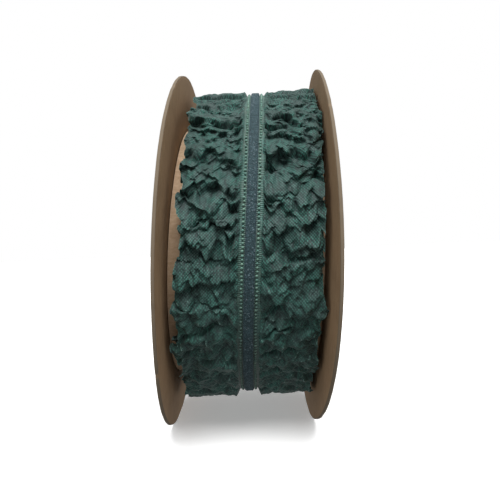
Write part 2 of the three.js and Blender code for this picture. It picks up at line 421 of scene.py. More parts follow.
class FoldGuide:
    """The main folds and hollows as a chart over the roll, for its left and its right side."""

    CELLS_ROUND = 1064
    CELLS_ACROSS = 72
    WIDTH = 18.0

    def __init__(self, seed):
        turn = np.degrees((np.arange(self.CELLS_ROUND) + 0.5) / self.CELLS_ROUND * FULL_TURN)
        from_tape = (np.arange(self.CELLS_ACROSS) + 0.5) / self.CELLS_ACROSS * self.WIDTH
        shape = (2, self.CELLS_ROUND, self.CELLS_ACROSS)
        self.height = np.zeros(shape, np.float32)
        self.hollow = np.zeros(shape, np.float32)
        self.lean = np.zeros(shape, np.float32)
        self.edge = np.zeros((2, self.CELLS_ROUND), np.float32)
        jagged = [SoftNoise(*WARP_CELLS, seed + 30 + k) for k in range(2)]
        shares = (turn[:, None] / 360, from_tape[None] / self.WIDTH)
        for k, side in enumerate(SIDES):
            self.edge[k] = FREE_EDGE[side]
            for step, (cells, size) in enumerate((RAGGED, FRAYED)):
                uneven = SoftNoise(cells, 3, seed + 40 + step).at(shares[0], 0.5, k)
                self.edge[k] += size * uneven[:, 0]
            turns = turn[:, None] + WARP_ROUND * jagged[0].at(*shares, k)
            outs = from_tape[None] + WARP_ACROSS * jagged[1].at(*shares, k)
            for row in FRONT_FOLDS[side] + self.hidden_folds(seed + k):
                self.add_fold(k, turns, outs, dict(zip(FOLD_COLUMNS, row)))
            for row in HOLLOWS[side]:
                self.add_hollow(k, turns, outs, dict(zip(HOLLOW_COLUMNS, row)))

    @staticmethod
    def hidden_folds(seed):
        """Folds of the same kind for the back of the roll."""
        pick = np.random.default_rng(seed)
        folds = []
        angle, last_angle = HIDDEN_ANGLES
        while angle < last_angle:
            turns = angle + pick.uniform(-2.5, 2.5, 3)
            opens = "up" if angle < 180 else "down"
            folds.append((*turns, pick.uniform(0.8, 1.5), pick.uniform(-0.5, 1.1), opens))
            angle += HIDDEN_FOLD_SPACING * pick.uniform(0.8, 1.25)
        return tuple(folds)

    @staticmethod
    def arc(turn, degrees):
        """Distance round the roll from a place to a turn angle, upwards positive."""
        return ((turn - degrees + 540) % 360 - 180) / 360 * ROUND_THE_ROLL

    def add_fold(self, k, turn, from_tape, fold):
        share = np.clip((from_tape - TAPE_WIDTH / 2) / (FREE_EDGE["left"] - TAPE_WIDTH / 2), 0, 1)
        inner = blend(fold["at_tape"], fold["halfway"], np.minimum(share * 2, 1))
        outer = blend(fold["halfway"], fold["at_edge"], np.maximum(share * 2 - 1, 0))
        degrees = np.where(share < 0.5, inner, outer)
        side = 1 if fold["opens"] == "down" else -1
        out_of_pocket = side * self.arc(turn, degrees)
        width = np.where(out_of_pocket > 0, FOLD_GENTLE_SIDE, FOLD_STEEP_SIDE)
        self.height[k] += fold["lift"] * bell(out_of_pocket, width)
        self.height[k] -= POCKET_DEPTH * bell(out_of_pocket + POCKET_OFFSET, POCKET_WIDTH)
        self.lean[k] -= side * fold["lift"] * bell(out_of_pocket - 0.5, 1.8)
        at_edge = self.arc(turn[:, -1], fold["at_edge"])
        self.edge[k] += fold["reach"] * bell(at_edge, EDGE_PETAL_WIDTH)

    def add_hollow(self, k, turn, from_tape, hollow):
        away_round = self.arc(turn, hollow["degrees"]) / hollow["half_round"]
        away_across = (from_tape - hollow["from_tape"]) / hollow["half_across"]
        away = np.hypot(away_round, away_across)
        self.hollow[k] = np.minimum(self.hollow[k], -hollow["depth"] * np.exp(-(away**4)))

    def at(self, chart, points):
        """The chart's value under each point of the cloth."""
        row = points[..., 0] / ROUND_THE_ROLL * self.CELLS_ROUND - 0.5
        column = points[..., 1] / self.WIDTH * self.CELLS_ACROSS - 0.5
        column = np.clip(column, 0, self.CELLS_ACROSS - 1.001)
        first_row = np.floor(row).astype(int)
        first_column = np.floor(column).astype(int)
        side = np.arange(2)[:, None, None]

        def value(rows_on, columns_on):
            place_round = (first_row + rows_on) % self.CELLS_ROUND
            return chart[side, place_round, first_column + columns_on]

        near = blend(value(0, 0), value(1, 0), row - first_row)
        far = blend(value(0, 1), value(1, 1), row - first_row)
        return blend(near, far, column - first_column)


def sharpness(height):
    """How far each point stands out from those beside it: ridges positive, valleys negative."""
    along = (np.roll(height, 1, axis=1) + np.roll(height, -1, axis=1)) / 2
    widened = np.pad(height, ((0, 0), (0, 0), (1, 1)), "edge")
    across = (widened[..., :-2] + widened[..., 2:]) / 2
    return height - (along + across) / 2


def crumpled_satin(guide, rows, columns, seed):
    """Both halves of one turn, worked out straight: along the roll, out from the tape, and up.

    With them come their places on the cloth, and how sharply it is creased at each point, which sets
    the satin's painted highlights on ridges and painted shade in creases.
    """
    points = np.zeros((2, rows, columns, 3))
    along = (np.arange(rows) / rows - 0.5) * ROUND_THE_ROLL
    points[..., 0] = along[None, :, None]
    edge = guide.edge[:, (along / ROUND_THE_ROLL * guide.CELLS_ROUND).astype(int)]
    out = np.linspace(0, 1, columns)
    points[..., 1] = SEAM_OFFSET + (edge[:, :, None] - SEAM_OFFSET) * out
    degrees = points[..., 0] / ROUND_THE_ROLL * 360
    calm = 1 - hump(degrees, *CALM_ON_TOP) - hump(degrees, *CALM_BELOW)
    level = np.sin(np.radians(degrees))
    upper = ease(np.clip((level + 0.6) / 0.6, 0, 1))
    crumple = CRUMPLE_LIFT
    for k, (size, slope) in enumerate(CREASES):
        field = CreaseField(ROUND_THE_ROLL, size, slope, seed + k)
        layer = field.at(points[..., 0] % ROUND_THE_ROLL, points[..., 1] - SEAM_OFFSET)
        sharp = sharpness(layer) / CREASE_STEP
        if k == 0:
            ridges = sharp
            valleys = sharp
        else:
            layer = layer * blend(FINE_SHARE_BELOW, 1, upper)
            valleys = np.minimum(valleys, 1.6 * sharp)
        crumple = crumple + layer
    crumple = np.clip(crumple, *CRUMPLE_RANGE) * calm
    free = np.clip((points[..., 1] - SEAM_OFFSET - 0.1) / FREE_WITHIN, 0, 1)
    fold_share = FOLD_SHARE * (1 + sum(hump(degrees, *row) for row in HIGHER_FOLDS))
    folds = fold_share * guide.at(guide.height, points) + guide.at(guide.hollow, points)
    lift = sum(hump(degrees, *row) for row in LIFTS)
    height = free * (crumple + folds + lift)
    hanging = OVERHANG * np.cos(np.radians(degrees)) * ease(np.clip(level + 0.9, 0, 1))
    overhang = -hanging * (crumple - CRUMPLE_LIFT * calm)
    overhang += FOLD_LEAN * guide.at(guide.lean, points)
    points[..., 0] += free * overhang
    sewn = 1 - ease(np.clip(points[..., 1] - TAPE_WIDTH / 2 - 0.2, 0, 1))
    points[..., 2] = np.maximum(LYING_HEIGHT + height, LOWEST) + SEAM_RISE * sewn
    cloth = points[..., :2] + CLOTH_TURN * height[..., None] * np.array((0.5, 1.0))
    # Painted highlights on ridges, stronger on the lower half, and painted shade in valleys; the
    # free edge gets a painted highlight
    creased = np.clip(ridges, 0, 1) * blend(1, 0.5, upper) + np.clip(valleys, -1, 0)
    creased[..., -1] = FREE_EDGE_HIGHLIGHT
    return points, cloth, creased


def wind(points, base_radius):
    """Lays straight cloth round the roll, clear of the flanges, as points in metres."""
    turn = points[..., 0] / ROUND_THE_ROLL * FULL_TURN
    halves = []
    for k, side in enumerate(SIDES):
        radius = base_radius + points[k, ..., 2] + WINDING_LIFT * np.sin(turn[k])
        face = INSIDE_WIDTH / 2 - FLANGE_CLEARANCE + flange_bend(side, turn[k], radius)
        across = TAPE_CENTRE + OUTWARDS[side] * points[k, ..., 1]
        across = OUTWARDS[side] * np.minimum(OUTWARDS[side] * across, face)
        halves.append(place(across, radius, turn[k]))
    return halves


def add_piece(name, mesh, look, slot, *replaced):
    """Makes an object of a finished mesh, riding on the spool."""
    piece = bpy.data.objects.new(name, mesh)
    bpy.context.scene.collection.objects.link(piece)
    mesh.materials.append(look)
    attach(piece, "root")
    if replaced:
        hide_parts(*replaced)
    return piece


def spin(shape, geometry, angle, steps, copies):
    """Turns geometry round the spool's axis, as one surface or as separate copies."""
    bmesh.ops.spin(
        shape,
        geom=geometry,
        cent=(0, 0, 0),
        axis=(1, 0, 0),
        dvec=(0, 0, 0),
        angle=angle,
        steps=steps,
        use_merge=not copies,
        use_duplicate=copies,
        use_normal_flip=False,
    )


def vertex_places(mesh):
    spots = np.empty(len(mesh.vertices) * 3)
    mesh.vertices.foreach_get("co", spots)
    return spots.reshape(-1, 3)


def turned_shape(profile, steps):
    """A closed outline of (across, radius) corners turned round the spool's axis."""
    shape = bmesh.new()
    corners = [shape.verts.new((across, -radius, 0)) for across, radius in profile]
    edges = [shape.edges.new((corners[k - 1], corners[k])) for k in range(len(corners))]
    spin(shape, corners + edges, FULL_TURN, steps, False)
    bmesh.ops.remove_doubles(shape, verts=shape.verts, dist=1e-4)
    bmesh.ops.recalc_face_normals(shape, faces=shape.faces)
    return shape


def finish_turned(shape, name, move, sharp_degrees=40):
    """A mesh in its place on the leaning spool; move changes across, radius and turn."""
    mesh = bpy.data.meshes.new(name)
    shape.to_mesh(mesh)
    shape.free()
    spots = vertex_places(mesh)
    across = spots[:, 0]
    radius = np.hypot(spots[:, 1], spots[:, 2])
    turn = np.arctan2(spots[:, 2], -spots[:, 1])
    mesh.vertices.foreach_set("co", place(*move(across, radius, turn)).ravel())
    mesh.shade_smooth()
    mesh.set_sharp_from_angle(angle=math.radians(sharp_degrees))
    mesh.update()
    return mesh


def weld_ends(shape, axis, half_cell):
    """Joins a grid's first and last row, half a cell inside its two ends."""
    other = 1 - axis
    first = [v for v in shape.verts if v.co[axis] < half_cell - 0.5]
    last = [v for v in shape.verts if v.co[axis] > 0.5 - half_cell]
    first.sort(key=lambda v: v.co[other])
    last.sort(key=lambda v: v.co[other])
    bmesh.ops.weld_verts(shape, targetmap=dict(zip(last, first)))


def wound_mesh(name, points, flipped, band=False, cloth=None, creased=None):
    """A mesh closed round the roll, from rows of points round it and columns across it.

    A band's columns go right round its outline, so they are closed too. For satin come the
    places on the cloth and the creases.
    """
    rows, columns = points.shape[:2]
    cells_across = columns if band else columns - 1
    shape = bmesh.new()
    shape.loops.layers.uv.new(CLOTH_UV)
    bmesh.ops.create_grid(
        shape, x_segments=rows, y_segments=cells_across, size=0.5, calc_uvs=True
    )
    weld_ends(shape, 0, 0.5 / rows)
    if band:
        weld_ends(shape, 1, 0.5 / columns)
    if flipped:
        bmesh.ops.reverse_faces(shape, faces=shape.faces)
    mesh = bpy.data.meshes.new(name)
    shape.to_mesh(mesh)
    shape.free()
    spots = vertex_places(mesh)
    row = np.rint((spots[:, 0] + 0.5) * rows).astype(int) % rows
    column = np.rint((spots[:, 1] + 0.5) * cells_across).astype(int) % columns
    mesh.vertices.foreach_set("co", points[row, column].astype(np.float32).ravel())
    if creased is not None:
        values = mesh.attributes.new(CREASED, "FLOAT", "POINT").data
        values.foreach_set("value", creased[row, column].astype(np.float32).ravel())
    if cloth is not None:
        lay_cloth(mesh, rows, cells_across, cloth)
    mesh.shade_smooth()
    mesh.update()
    return mesh


def lay_cloth(mesh, rows, cells_across, cloth):
    """Moves the map of the cloth to these places, in shares of the turn and of its width."""
    flat = mesh.uv_layers[CLOTH_UV].data
    spots = np.empty(len(flat) * 2)
    flat.foreach_get("uv", spots)
    spots = spots.reshape(-1, 2)
    row = np.rint(spots[:, 0] * rows).astype(int)
    column = np.rint(spots[:, 1] * cells_across).astype(int)
    spots = cloth[row % rows, column] / (ROUND_THE_ROLL, FoldGuide.WIDTH)
    spots[:, 0] += row // rows
    flat.foreach_set("uv", spots.astype(np.float32).ravel())


def wound_band(name, outline, steps, move):
    """A band wound round the roll, from its outline as (across, radius) corners."""
    outline = np.array(outline)
    turn = np.arange(steps)[:, None] / steps * FULL_TURN
    across = np.tile(outline[:, 0], (steps, 1))
    radius = np.tile(outline[:, 1], (steps, 1))
    return wound_mesh(name, place(*move(across, radius, turn + 0 * across)), False, band=True)


class Wire:
    """A node's output; sums on it add Math nodes."""

    def __init__(self, look, socket):
        self.look = look
        self.socket = socket

    def math(self, operation, *values):
        return self.look.node(
            "ShaderNodeMath", {"operation": operation}, dict(enumerate(values))
        )

    def __add__(self, other):
        return self.math("ADD", self, other)

    def __sub__(self, other):
        return self.math("SUBTRACT", self, other)

    def __rsub__(self, other):
        return self.math("SUBTRACT", other, self)

    def __mul__(self, other):
        return self.math("MULTIPLY", self, other)

    def __pow__(self, other):
        return self.math("POWER", self, other)

    __radd__ = __add__
    __rmul__ = __mul__

    def wave(self, pitch):
        """0 to 1 and back over each pitch."""
        return self.math("SINE", self * (FULL_TURN / pitch)) * 0.5 + 0.5

    def over(self, low, high):
        """0 below low, 1 above high, and even between them."""
        return self.look.node(
            "ShaderNodeMapRange", {"clamp": True}, {0: self, 1: low, 2: high, 3: 0.0, 4: 1.0}
        )


class Look:
    """A finish made of shader nodes."""

    def __init__(self, name, owner=None):
        self.owner = owner or bpy.data.materials.new(name)
        self.owner.use_nodes = True
        self.tree = self.owner.node_tree
        self.tree.nodes.clear()

    def node(self, kind, settings=None, inputs=None, output=0):
        made = self.tree.nodes.new(kind)
        for name, value in (settings or {}).items():
            setattr(made, name, value)
        for name, value in (inputs or {}).items():
            if isinstance(value, Wire):
                self.tree.links.new(value.socket, made.inputs[name])
            else:
                made.inputs[name].default_value = value
        return Wire(self, made.outputs[output]) if made.outputs else None

    def object_place(self, scale=(1, 1, 1)):
        """The piece's own coordinates, in mm times scale."""
        place_in_metres = self.node("ShaderNodeTexCoord", output=3)
        size = tuple(s / MM for s in scale)
        return self.node("ShaderNodeMapping", {}, {"Vector": place_in_metres, "Scale": size})

    def cloth_place(self, length, width):
        """Coordinates that follow the cloth, in mm."""
        shares = self.node("ShaderNodeUVMap", {"uv_map": CLOTH_UV})
        return self.node("ShaderNodeMapping", {}, {"Vector": shares, "Scale": (length, width, 1)})

    def split(self, vector):
        parts = self.node("ShaderNodeSeparateXYZ", {}, {0: vector})
        outputs = parts.socket.node.outputs
        return [Wire(self, outputs[k]) for k in range(3)]

    def turn_angle(self, front, up):
        """The turn angle of a place on the spool, in radians."""
        return self.node(
            "ShaderNodeMath", {"operation": "ARCTAN2"}, {0: up - AXIS_HEIGHT, 1: front * -1}
        )

    def noise(self, vector, size, detail=2.0, roughness=0.5):
        """Soft noise from 0 to 1, with patches of about this size."""
        inputs = {"Vector": vector, "Scale": 1 / size, "Detail": detail, "Roughness": roughness}
        return self.node("ShaderNodeTexNoise", {}, inputs)

    def grains(self, vector, size):
        """A random value for each grain of about this size."""
        inputs = {"Vector": vector, "Scale": 1 / size}
        colour = self.node("ShaderNodeTexVoronoi", {}, inputs, output=1)
        return self.split(colour)[0]

    def vector_math(self, operation, first, second, output=0):
        return self.node(
            "ShaderNodeVectorMath", {"operation": operation}, {0: first, 1: second}, output
        )

    def facets(self, vector, size, slope):
        """Tilted flat facets with steps between them: their height in mm and their tone."""
        warp = self.node("ShaderNodeTexNoise", {}, {"Vector": vector, "Scale": 1 / size}, output=1)
        warp = self.vector_math("SUBTRACT", warp, (0.5, 0.5, 0.5))
        warp = self.vector_math("MULTIPLY", warp, (size, size, 0))
        vector = self.vector_math("ADD", vector, warp)
        cells = self.node("ShaderNodeTexVoronoi", {}, {"Vector": vector, "Scale": 1 / size})
        outputs = cells.socket.node.outputs
        tilt = self.vector_math("SUBTRACT", Wire(self, outputs["Color"]), (0.5, 0.5, 0.5))
        away = self.vector_math("SUBTRACT", vector, Wire(self, outputs["Position"]))
        height = self.vector_math("DOT_PRODUCT", tilt, away, 1)
        return height * slope, self.split(Wire(self, outputs["Color"]))[2]

    def mix(self, share, first, second):
        return self.node(
            "ShaderNodeMix", {"data_type": "RGBA"}, {0: share, 6: first, 7: second}, output=2
        )

    def cover(self, varying, fixed, relief, relief_depth):
        """The finish: what varies, what is the same all over, and its relief in mm."""
        bump = {"Height": relief, "Distance": relief_depth * MM, "Strength": 1.0}
        inputs = {**fixed, **varying, "Normal": self.node("ShaderNodeBump", {}, bump)}
        shader = self.node("ShaderNodeBsdfPrincipled", {}, inputs)
        self.node("ShaderNodeOutputMaterial", {}, {"Surface": shader})
        return self.owner


def opaque(colour):
    return (*colour, 1.0)


def kraft_look(colours):
    """Brown card: long fibres, warm clouds, dark flecks and a darker cut rim."""
    look = Look("kraft_card")
    spot = look.object_place()
    fibres = look.noise(look.object_place((1.0, 3.2, 0.35)), 1.0, 4.0, 0.65)
    cloudy = look.noise(spot, 9.0, 2.0)
    flecks = look.noise(look.object_place((1.0, 1.6, 0.7)), 0.45, 2.0).over(0.66, 0.76)
    colour = look.mix(fibres.over(0.3, 0.72), opaque(colours.dark), opaque(colours.light))
    colour = look.mix(cloudy.over(0.35, 0.7) * 0.45, colour, opaque(colours.warm))
    colour = look.mix(flecks * 0.5, colour, opaque(colours.fleck))
    _, front, up = look.split(spot)
    radius = ((front**2) + ((up - AXIS_HEIGHT) ** 2)) ** 0.5
    rim = radius.over(FLANGE_RADIUS - 0.45, FLANGE_RADIUS - 0.1)
    colour = look.mix(rim * 0.95, colour, opaque(colours.cut_rim))
    return look.cover(
        {"Base Color": colour, "Roughness": fibres * 0.15 + 0.72},
        {"Specular IOR Level": 0.25},
        fibres + flecks * 0.3,
        0.03,
    )


def core_look(colours):
    """Paper tube: as the card, lighter, with the spiral seam of its wound strip."""
    look = Look("core_card")
    spot = look.object_place()
    across, front, up = look.split(spot)
    winding = across * (1 / CORE_STRIP_PITCH) + look.turn_angle(front, up) * (1 / FULL_TURN)
    strip = look.node("ShaderNodeMath", {"operation": "FRACT"}, {0: winding})
    seam = 1 - strip.over(0.0, 0.012)
    fibres = look.noise(look.object_place((0.5, 1.4, 1.4)), 0.8, 4.0, 0.65)
    colour = look.mix(fibres.over(0.3, 0.7), opaque(colours.light), opaque(colours.tube))
    colour = look.mix(seam * 0.5, colour, opaque(colours.fleck))
    return look.cover(
        {"Base Color": colour, "Roughness": fibres * 0.1 + 0.75},
        {"Specular IOR Level": 0.25},
        fibres - seam,
        0.04,
    )


def satin_look(name, colours, painted_shade):
    """Crushed satin: painted highlights on its ridges, painted shade in its creases, greyer facets
    of painted sheen, a fine slanting weave and cloudy dye.

    Lower down, as painted shade, the weave fades into an even tone that is a little darker.
    """
    look = Look(name)
    cloth = look.cloth_place(ROUND_THE_ROLL, FoldGuide.WIDTH)
    along, across, _ = look.split(cloth)
    creased = look.node("ShaderNodeAttribute", {"attribute_name": CREASED}, output=2)
    twill = (along + across).wave(WEAVE_PITCH)
    counter = (along - across).wave(WEAVE_PITCH)
    weave = twill * (counter * 0.85 + 0.15)
    threads = look.noise(cloth, 0.5, 1.0)
    cloudy = look.noise(cloth, 4.5, 2.0)
    facets, tone = look.facets(cloth, 1.9, 0.35)
    base = look.mix(cloudy.over(0.36, 0.64), opaque(colours.deep), opaque(colours.bright))
    # Painted sheen: single facets turn greyer
    base = look.mix(tone.over(0.5, 0.9) * 0.4, base, opaque(colours.sheen_grey))
    _, _, up = look.split(look.object_place())
    # Painted shade: lower down the weave fades into an even, slightly darker tone
    clear = up.over(*SATIN_PAINTED_SHADE_HEIGHTS)
    shade = (weave + threads * 0.25).over(0.08, 0.7) * (clear * 0.6 + 0.4) + (1 - clear) * 0.26
    colour = look.mix(1 - shade * 0.85, base, opaque(colours.shadow))
    # Painted highlight on the ridges and along the free edge
    colour = look.mix(creased.over(0.4, 0.9) * 0.8, colour, opaque(colours.edge))
    # Painted shade in the creases
    colour = look.mix((creased * -1).over(0.25, 0.8) * 0.85, colour, opaque(colours.shadow))
    # Painted shade: a turn's whole colour is mixed towards the dark
    if painted_shade:
        colour = look.mix(painted_shade, colour, opaque(colours.shadow))
    return look.cover(
        {"Base Color": colour, "Roughness": 0.66 - shade * 0.1},
        {
            "Specular IOR Level": 0.3,
            "Sheen Weight": 0.2,
            "Sheen Roughness": 0.4,
            "Sheen Tint": opaque(colours.sheen),
        },
        facets + weave * 0.05 + threads * 0.03,
        1.0,
    )


def tape_look(colours):
    """Ribbed tape: crosswise ribs and a mottled olive and sea green, with painted shade lower down.
    """
    look = Look("ribbed_tape")
    spot = look.object_place()
    _, front, up = look.split(spot)
    ribs = (look.turn_angle(front, up) * TAPE_RADIUS).wave(RIB_PITCH)
    threads = look.noise(look.object_place((1.0, 3.0, 3.0)), 0.5, 2.0)
    cloudy = look.noise(spot, 3.0, 2.0)
    colour = look.mix(cloudy.over(0.35, 0.65), opaque(colours.olive), opaque(colours.green))
    shade = (ribs * 0.5 + threads * 0.7).over(0.15, 0.85)
    colour = look.mix(1 - shade * 0.9, colour, opaque(colours.shadow))
    # Painted shade: the tape is mixed towards the dark between the ribs lower down
    colour = look.mix((1 - up.over(*TAPE_PAINTED_SHADE_HEIGHTS)) * 0.5, colour, opaque(colours.shadow))
    return look.cover(
        {"Base Color": colour, "Roughness": 0.55 - shade * 0.1},
        {"Specular IOR Level": 0.4, "Sheen Weight": 0.2, "Sheen Roughness": 0.4},
        ribs + threads * 0.6,
        0.06,
    )


def velvet_look(colours):
    """Velvet pile: slate blue, with lighter and darker tips and painted glints on single tips."""
    look = Look("velvet")
    spot = look.object_place()
    tips = look.grains(spot, 0.2)
    lie = look.noise(spot, 1.6, 2.0)
    colour = look.mix(tips.over(0.35, 1.0), opaque(colours.deep), opaque(colours.tip))
    # Painted glint: single tips take a light colour
    colour = look.mix(tips.over(0.93, 0.97), colour, opaque(colours.glint))
    colour = look.mix(lie.over(0.4, 0.8) * 0.3, colour, opaque(colours.lie))
    return look.cover(
        {"Base Color": colour, "Roughness": 0.85 - tips * 0.15},
        {
            "Specular IOR Level": 0.2,
            "Sheen Weight": 0.25,
            "Sheen Roughness": 0.35,
            "Sheen Tint": opaque(colours.sheen),
        },
        tips + lie * 0.5,
        0.12,
    )


def bead_look(colours):
    """Picot thread: pale green, darker in patches, and with painted shade lower down."""
    look = Look("picot_thread")
    spot = look.object_place()
    cloudy = look.noise(spot, 1.2, 2.0)
    twist = look.noise(look.object_place((3.0, 1.0, 1.0)), 0.25, 1.0)
    _, _, up = look.split(spot)
    colour = look.mix(cloudy.over(0.35, 0.7), opaque(colours.green), opaque(colours.pale))
    # Painted shade: the beads darken lower down
    colour = look.mix((1 - up.over(*BEADS_PAINTED_SHADE_HEIGHTS)) * 0.6, colour, opaque(colours.shadow))
    return look.cover(
        {"Base Color": colour, "Roughness": twist * 0.2 + 0.35},
        {"Specular IOR Level": 0.5, "Sheen Weight": 0.2},
        twist,
        0.03,
    )


def stage_look(colour):
    """Matt pale floor with a little glow, so that shadows on it stay soft."""
    look = Look("pale_floor")
    grain = look.noise(look.object_place(), 2.0, 2.0)
    tone = look.mix(grain * 0.1, opaque(colour), opaque([0.97 * part for part in colour]))
    glow = {"Emission Color": opaque(colour), "Emission Strength": 0.3}
    return look.cover({"Base Color": tone}, {"Roughness": 0.95, **glow}, grain, 0.01)


def colour_property(name, description, default):
    return FloatVectorProperty(
        name=name, description=description, default=default, subtype="COLOR", size=3, min=0, max=1
    )


def length_property(name, description, default):
    return FloatProperty(name=name, description=description, default=default * MM, unit="LENGTH")


class CardSettings(bpy.types.PropertyGroup):
    """Sizes and colours of the card spool."""

    thickness: length_property("Card thickness", "Thickness of both discs", CARD_THICKNESS)
    hole_radius: length_property("Hole radius", "Radius of the discs' holes", FLANGE_HOLE_RADIUS)
    steps: IntProperty(name="Steps", description="Steps round the spool", default=288, min=48)
    light: colour_property("Light", "Lit fibres of the card", (0.405, 0.270, 0.162))
    dark: colour_property("Dark", "Dark fibres of the card", (0.262, 0.160, 0.084))
    warm: colour_property("Warm", "Warm clouds in the card", (0.42, 0.27, 0.15))
    fleck: colour_property("Fleck", "Bark flecks in the card", (0.16, 0.10, 0.055))
    tube: colour_property("Tube", "Lit fibres of the core tube", (0.58, 0.42, 0.28))
    cut_rim: colour_property("Cut rim", "Cut rim of the discs", (0.17, 0.135, 0.095))


class SatinSettings(bpy.types.PropertyGroup):
    """Sizes and colours of the gathered satin."""

    flat: FloatVectorProperty(
        name="Flat size",
        description="Width from seam to edge and length of one turn before it was gathered",
        default=(SATIN_HALF_WIDTH * MM, SATIN_LENGTH * MM),
        size=2,
        unit="LENGTH",
    )
    flat_below: FloatVectorProperty(
        name="Flat size below",
        description="The same for the turn below",
        default=(SATIN_HALF_WIDTH * MM, BELOW_LENGTH * MM),
        size=2,
        unit="LENGTH",
    )
    radius: length_property("Radius", "Radius of the top turn", SATIN_BASE_RADIUS)
    under_radius: length_property("Lower radius", "Radius of the turn below", BELOW_RADIUS)
    seed: IntProperty(name="Seed", description="Picks the crumples", default=1, min=0)
    deep: colour_property("Deep", "Deep dye", (0.034, 0.105, 0.084))
    bright: colour_property("Bright", "Bright dye", (0.057, 0.222, 0.177))
    # Painted sheen on single facets of the satin
    sheen_grey: colour_property("Grey", "Rubbed greyer cloth", (0.105, 0.162, 0.156))
    # Besides the dark between the threads, this colour paints shade in the creases, lower down and
    # on the turn below
    shadow: colour_property("Between threads", "Dark between the threads", (0.016, 0.029, 0.029))
    # Painted highlight: the light ridges and the free edge take this colour
    edge: colour_property("Edge", "Woven edge and light ridges", (0.270, 0.430, 0.390))
    sheen: colour_property("Sheen", "Sheen of the satin", (0.70, 0.85, 0.80))


class TapeSettings(bpy.types.PropertyGroup):
    """Sizes and colours of the sewn tape, its velvet and its beads."""

    width: length_property("Tape width", "Width of the ribbed tape", TAPE_WIDTH)
    velvet_width: length_property("Velvet width", "Width of the velvet stripe", VELVET_WIDTH)
    bead_pitch: length_property("Bead pitch", "Distance between beads", BEAD_PITCH)
    green: colour_property("Green", "Sea green of the tape", (0.080, 0.215, 0.180))
    olive: colour_property("Olive", "Olive of the tape", (0.070, 0.140, 0.112))
    # Besides the dark between the ribs, this colour paints shade on the tape and the beads lower
    # down
    shadow: colour_property("Between ribs", "Dark between the ribs", (0.010, 0.022, 0.020))
    deep: colour_property("Deep pile", "Deep velvet pile", (0.024, 0.044, 0.050))
    tip: colour_property("Pile tips", "Lighter tips of the pile", (0.052, 0.102, 0.116))
    lie: colour_property("Pile lie", "Where the pile lies over", (0.040, 0.070, 0.080))
    glint: colour_property("Glint", "Single bright tips", (0.15, 0.20, 0.23))
    sheen: colour_property("Sheen", "Sheen of the velvet", (0.55, 0.68, 0.80))
    pale: colour_property("Pale", "Pale picot thread", (0.17, 0.30, 0.225))


class StageSettings(bpy.types.PropertyGroup):
    """Light and floor."""

    key_power: FloatProperty(name="Key light", description="Power of the key light", default=3.6)
    key_softness: FloatProperty(
        name="Softness",
        description="How wide the key light looks",
        default=math.radians(34),
        unit="ROTATION",
    )
    key_from: FloatVectorProperty(
        name="Key from", description="Where the key light is", default=(0.07, -0.5, 0.86), size=3
    )
    high_light: FloatProperty(name="Light above", description="Light from above", default=0.8)
    low_light: FloatProperty(name="Light below", description="Light from below", default=0.45)
    floor: colour_property("Floor", "Colour of the floor", (0.9, 0.9, 0.9))


class RIBBONROLL_OT_discs(bpy.types.Operator):
    """Add the two card discs with their rounded rims and small nicks"""

    bl_idname = "ribbon_roll.discs"
    bl_label = "Card discs"

    def execute(self, context):
        card = context.scene.ribbon_card
        look = kraft_look(card)
        thickness = card.thickness / MM
        hole = card.hole_radius / MM
        for k, side in enumerate(SIDES):
            mesh = self.disc(side, k, hole, thickness, card.steps)
            add_piece(f"card_disc_{side}", mesh, look, "kraft_card", f"flange_{side}")
        return {"FINISHED"}

    @staticmethod
    def disc(side, k, hole, thickness, steps):
        inner = INSIDE_WIDTH / 2
        rings = [hole, *np.linspace(hole + 5, FLANGE_RADIUS - 1, 9), FLANGE_RADIUS]
        outline = [(inner, radius) for radius in rings]
        outline += [(inner + thickness, radius) for radius in rings[::-1]]
        shape = turned_shape(outline, steps)
        corners = [
            edge
            for edge in shape.edges
            if abs(edge.verts[0].co.x - edge.verts[1].co.x) < TINY
            and all(abs(math.hypot(*v.co.yz) - FLANGE_RADIUS) < 1e-3 for v in edge.verts)
        ]
        bmesh.ops.bevel(
            shape,
            geom=corners,
            offset=0.2,
            affect="EDGES",
            segments=3,
            profile=0.5,
            material=-1,
        )
        uneven = SoftNoise(180, 3, 40 + k)
        cockle = SoftNoise(14, 3, 60 + k)

        def move(across, radius, turn):
            share = turn / FULL_TURN
            out = radius / FLANGE_RADIUS
            rim = np.clip(radius - FLANGE_RADIUS + 1, 0, 1)
            ragged = 0.035 * uneven.at(share, out, k)
            for row in RIM_NICKS:
                nick = dict(zip(RIM_NICK_COLUMNS, row))
                if nick["side"] == side:
                    away = (np.degrees(turn) - nick["degrees"]) * math.pi / 180 * FLANGE_RADIUS
                    ragged = ragged - nick["depth"] * bell(away, nick["width"])
            bend = flange_bend(side, turn, radius) + 0.06 * out * cockle.at(share, out, k)
            return OUTWARDS[side] * (across + bend), radius + rim * ragged, turn

        if side == "left":
            bmesh.ops.reverse_faces(shape, faces=shape.faces)
        return finish_turned(shape, f"card_disc_{side}", move)


class RIBBONROLL_OT_core(bpy.types.Operator):
    """Add the spiral-wound card tube that the ribbon is wound on"""

    bl_idname = "ribbon_roll.core"
    bl_label = "Core tube"

    def execute(self, context):
        card = context.scene.ribbon_card
        half = INSIDE_WIDTH / 2 - PIECE_GAP
        spots = np.linspace(-half, half, 13)
        outline = [(across, CORE_RADIUS) for across in spots]
        outline += [(across, CORE_RADIUS - CORE_WALL) for across in spots[::-1]]
        shape = turned_shape(outline, card.steps)
        uneven = SoftNoise(40, 5, 71)

        def move(across, radius, turn):
            dent = 0.05 * uneven.at(turn / FULL_TURN, across / INSIDE_WIDTH + 0.5, 0)
            return across, radius - np.abs(dent), turn

        mesh = finish_turned(shape, "card_core", move)
        add_piece("card_core", mesh, core_look(card), "core_card", "core_tube")
        return {"FINISHED"}


